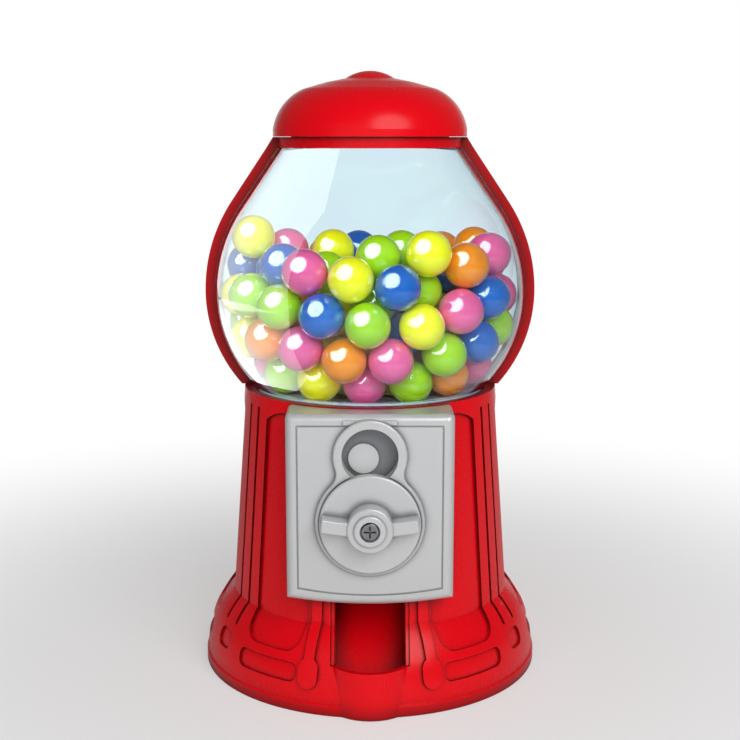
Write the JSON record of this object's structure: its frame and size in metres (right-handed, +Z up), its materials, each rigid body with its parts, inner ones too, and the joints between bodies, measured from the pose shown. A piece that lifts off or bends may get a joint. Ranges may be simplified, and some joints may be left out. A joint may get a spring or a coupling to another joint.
{
  "type": "gumball machine",
  "caption": "Countertop gumball machine and coin bank: a coin in the pocket and a turn of the lever drop a gumball from the clear globe into the cup at the foot.",
  "frame": {"origin": "centre of the flat underside, on the surface that the machine stands on", "axes": "+Z up, the front with the lever and the cup faces -Y, +X to the right seen from the front"},
  "size_m": [0.1604, 0.1656, 0.2795],
  "materials": {
    "red_plastic": "moulded, high gloss",
    "dark_red_plastic": "moulded, gloss",
    "clear_plastic": "clear moulded plastic, polished",
    "silver_plastic": "silver lacquer, satin",
    "plated_steel": "zinc plated",
    "grey_plastic": "moulded, fine grain",
    "bearing_plastic": "natural acetal, satin",
    "white_plastic": "moulded, satin",
    "base_plastic": "moulded, fine grain",
    "seal_rubber": "moulded",
    "gum_blue": "sugar shell, gloss",
    "gum_pink": "sugar shell, gloss",
    "gum_green": "sugar shell, gloss",
    "gum_yellow": "sugar shell, gloss",
    "gum_orange": "sugar shell, gloss"
  },
  "bodies": {
    "body": {"body_shell": "red_plastic", "base_plate": "base_plastic", "base_screws": "plated_steel", "globe_front": "clear_plastic", "globe_rear": "clear_plastic", "globe_frame": "red_plastic", "hopper": "white_plastic", "front_panel": "silver_plastic", "front_bush": "bearing_plastic", "rear_bush": "bearing_plastic", "coin_stop": "grey_plastic", "coin_ramp": "grey_plastic", "mechanism_frame": "grey_plastic", "mechanism_screws": "plated_steel", "click_spring": "plated_steel", "ball_chute": "dark_red_plastic", "gumballs_blue": "gum_blue", "gumballs_pink": "gum_pink", "gumballs_green": "gum_green", "gumballs_yellow": "gum_yellow", "gumballs_orange": "gum_orange"},
    "lever": {"lever_knob": "silver_plastic", "lever_screw": "plated_steel", "lever_shaft": "plated_steel", "shaft_clip": "plated_steel", "coin_carrier": "bearing_plastic", "gum_wheel": "bearing_plastic", "click_wheel": "bearing_plastic"},
    "lid": {"lid": "red_plastic", "lid_seal": "seal_rubber"},
    "plug": {"bank_plug": "base_plastic"}
  },
  "joints": [
    {"name": "lever_turn", "type": "hinge", "parent": "body", "child": "lever", "pos_m": [0, -0.08, 0.086], "axis": [0, 1, 0], "continuous": true},
    {"name": "lid_lift", "type": "slide", "parent": "body", "child": "lid", "axis": [0, 0, 1], "range_m": [0, 0.06]},
    {"name": "plug_turn", "type": "hinge", "parent": "body", "child": "plug", "pos_m": [0, 0.036, 0.0015], "axis": [0, 0, 1], "range_deg": [0, 60]}
  ]
}
